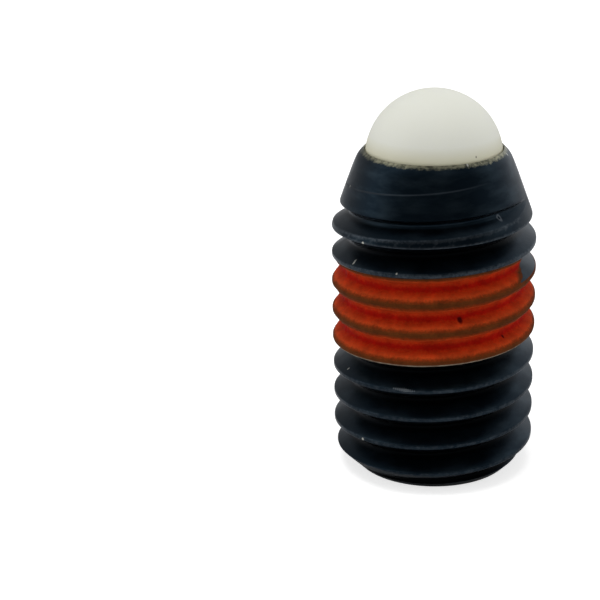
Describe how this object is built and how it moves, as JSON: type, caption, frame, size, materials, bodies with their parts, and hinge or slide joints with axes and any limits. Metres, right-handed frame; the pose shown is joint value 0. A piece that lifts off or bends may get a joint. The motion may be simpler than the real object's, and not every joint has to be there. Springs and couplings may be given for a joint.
{
  "type": "spring plunger",
  "caption": "Threaded steel spring plunger with a sprung plastic ball in its nose, a hexagon socket and a nylon locking patch in its thread.",
  "frame": {"origin": "centre of the flat socket end face, which the part stands on", "axes": "+Z along the plunger's axis, from the socket end to the ball; the lowest thread crest is 1.4 mm up on the -Y side"},
  "size_m": [0.012, 0.012, 0.0228],
  "materials": {
    "black_oxide_steel": "satin",
    "ball_acetal": "matte",
    "spring_steel": "satin",
    "patch_nylon": "matte"
  },
  "bodies": {
    "housing": {"threaded_body": "black_oxide_steel", "spring": "spring_steel", "locking_patch": "patch_nylon"},
    "ball": {"ball": "ball_acetal"}
  },
  "joints": [
    {"name": "ball_slide", "type": "slide", "parent": "housing", "child": "ball", "axis": [0, 0, 1], "range_m": [-0.0025, 0], "stiffness_N_per_m": 7000, "deforming": ["spring"]}
  ]
}
